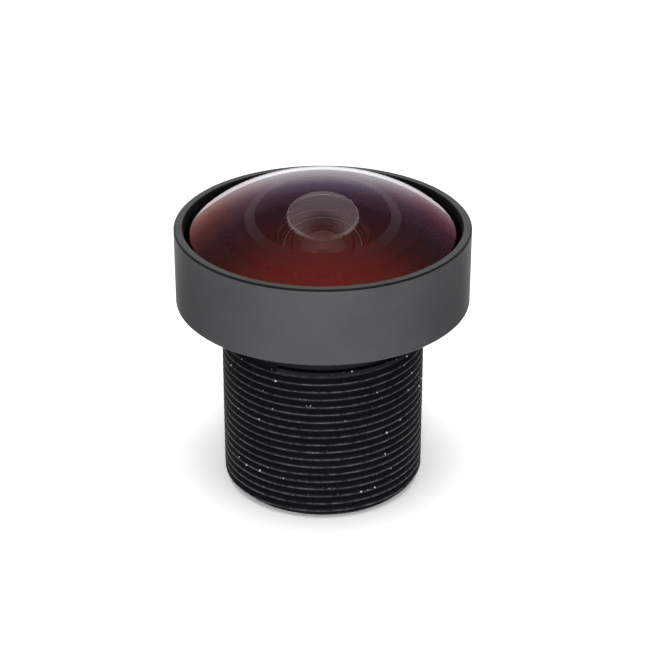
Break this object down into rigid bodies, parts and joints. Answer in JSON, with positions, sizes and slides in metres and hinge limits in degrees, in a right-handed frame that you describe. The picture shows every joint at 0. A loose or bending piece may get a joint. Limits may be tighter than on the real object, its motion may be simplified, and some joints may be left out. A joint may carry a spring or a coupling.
{
  "type": "fisheye lens",
  "caption": "Fisheye board lens: domed front glass in a plain round cell, threaded neck behind, stacked glass and spacers inside, screwed rear retainer.",
  "frame": {"origin": "centre of the rear end face of the threaded neck, on the optical axis", "axes": "+Z along the optical axis towards the scene; +X to the right and -Y towards the viewer of the picture"},
  "size_m": [0.0173, 0.0172, 0.019],
  "materials": {
    "anodised_black": "black anodised, fine turned satin",
    "anodised_grey": "dark grey anodised, smooth satin",
    "shim_steel": "rolled shim stock",
    "front_glass": "polished, violet and red anti-reflection coating, ground edge inked black",
    "inner_glass": "polished and coated",
    "filter_glass": "polished, dichroic coating that reflects red",
    "black_bond": "cured black adhesive",
    "spacer_black": "black anodised, matt",
    "washer_black": "black polyester foil"
  },
  "bodies": {
    "lens_body": {"barrel": "anodised_black", "front_spacer": "spacer_black", "second_element": "inner_glass", "third_element": "inner_glass", "stop_spacer": "spacer_black", "aperture_stop": "washer_black", "relay_spacer": "spacer_black", "fourth_element": "inner_glass", "light_shield": "washer_black", "rear_spacer": "spacer_black", "fifth_element": "inner_glass", "sixth_element": "inner_glass", "filter_spacer": "spacer_black", "ir_cut_filter": "filter_glass"},
    "shim": {"cell_shim": "shim_steel"},
    "front_group": {"front_cell": "anodised_grey", "front_element": "front_glass", "element_bond": "black_bond"},
    "slip_washer": {"filter_washer": "washer_black"},
    "retainer": {"rear_retainer": "anodised_black"}
  },
  "joints": [
    {"name": "cell_lift", "type": "slide", "parent": "lens_body", "child": "shim", "axis": [0, 0, 1], "range_m": [0, 0.002]},
    {"name": "cell_turn", "type": "hinge", "parent": "shim", "child": "front_group", "pos_m": [0, 0, 0.014], "axis": [0, 0, 1], "range_deg": [0, 1443]},
    {"name": "retainer_travel", "type": "slide", "parent": "lens_body", "child": "slip_washer", "axis": [0, 0, -1], "range_m": [0, 0.0008]},
    {"name": "retainer_turn", "type": "hinge", "parent": "slip_washer", "child": "retainer", "pos_m": [0, 0, 0.0008], "axis": [0, 0, -1], "range_deg": [0, 722]}
  ],
  "couplings": [
    {"joint": "cell_turn", "follows": "cell_lift", "rad_per_m": 12566},
    {"joint": "retainer_turn", "follows": "retainer_travel", "rad_per_m": 15708}
  ]
}
